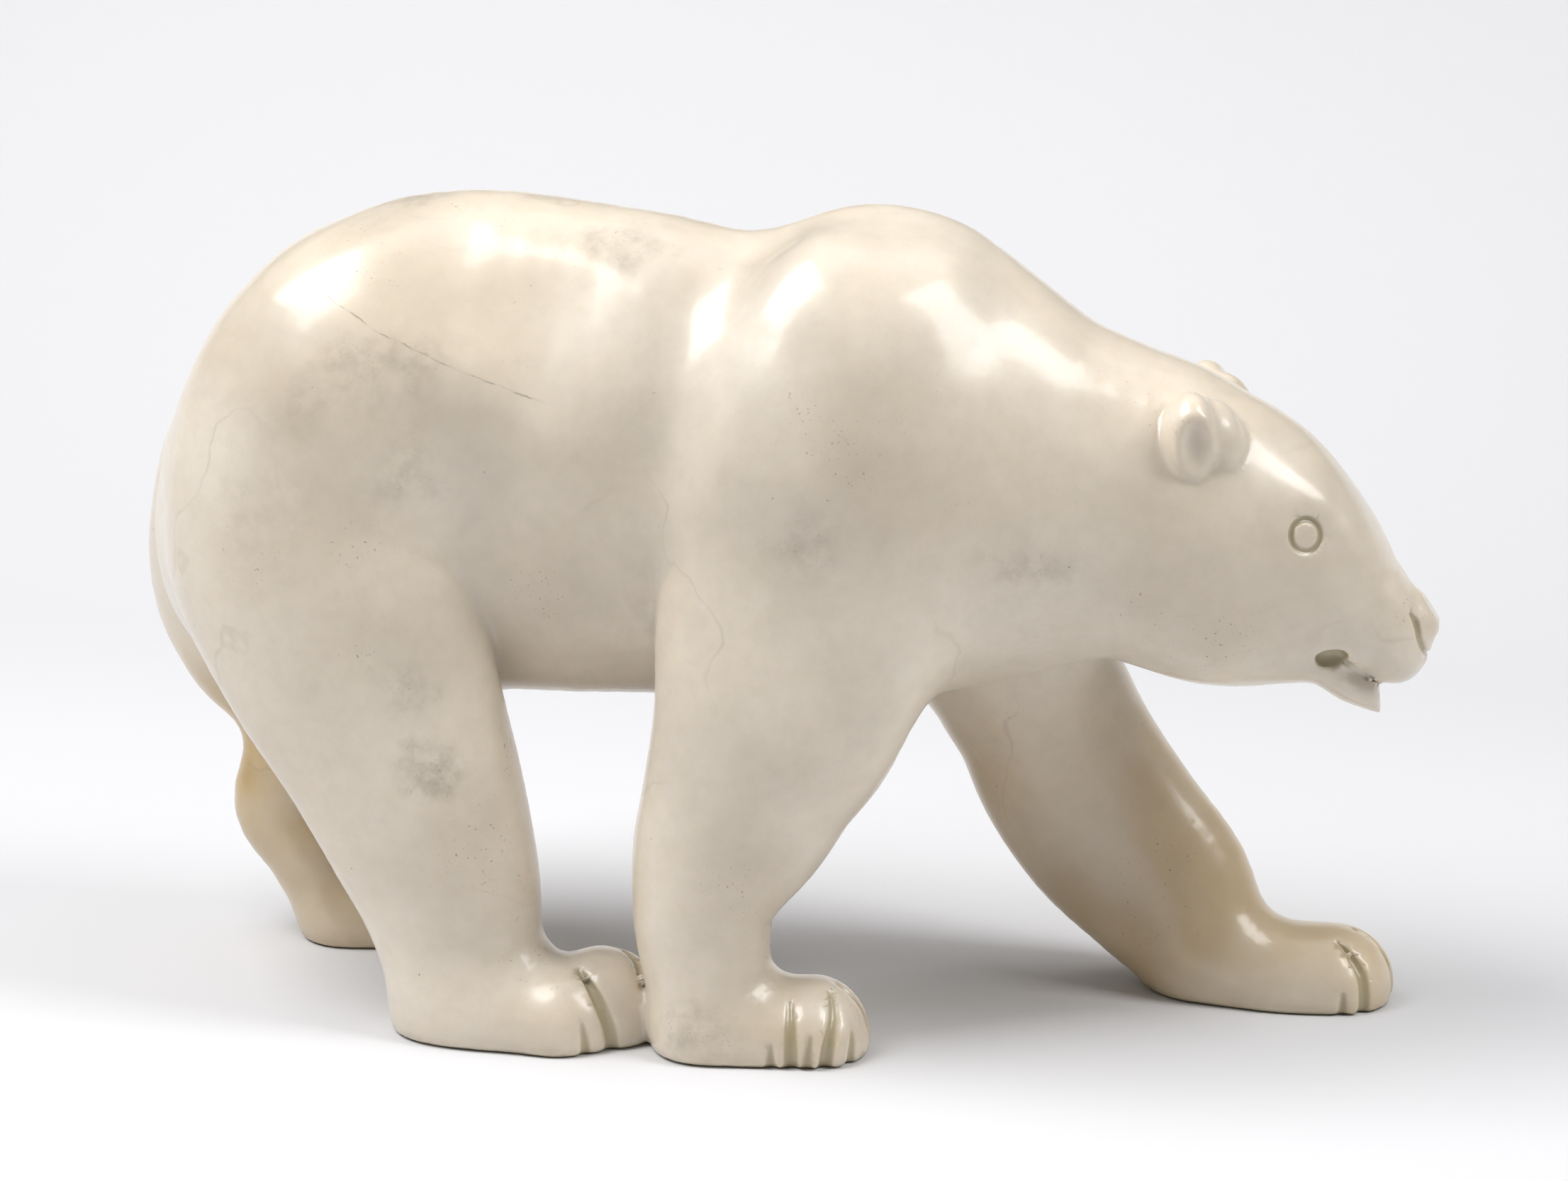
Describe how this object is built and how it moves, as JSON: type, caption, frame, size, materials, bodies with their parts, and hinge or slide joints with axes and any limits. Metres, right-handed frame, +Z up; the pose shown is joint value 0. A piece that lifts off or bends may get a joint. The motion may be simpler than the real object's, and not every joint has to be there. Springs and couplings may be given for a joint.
{
  "type": "polar bear sculpture",
  "caption": "Polar bear walking with its head low and mouth slightly open, carved in polished cream alabaster and standing on its own paws.",
  "frame": {"origin": "on the ground, under the middle of the bear's bounding box", "axes": "+X forwards, the way the bear walks and looks; +Y towards the bear's left side; +Z up"},
  "size_m": [0.3864, 0.1246, 0.2338],
  "materials": {
    "alabaster": "polished"
  },
  "bodies": {
    "root": {"polar_bear": "alabaster"}
  },
  "joints": []
}
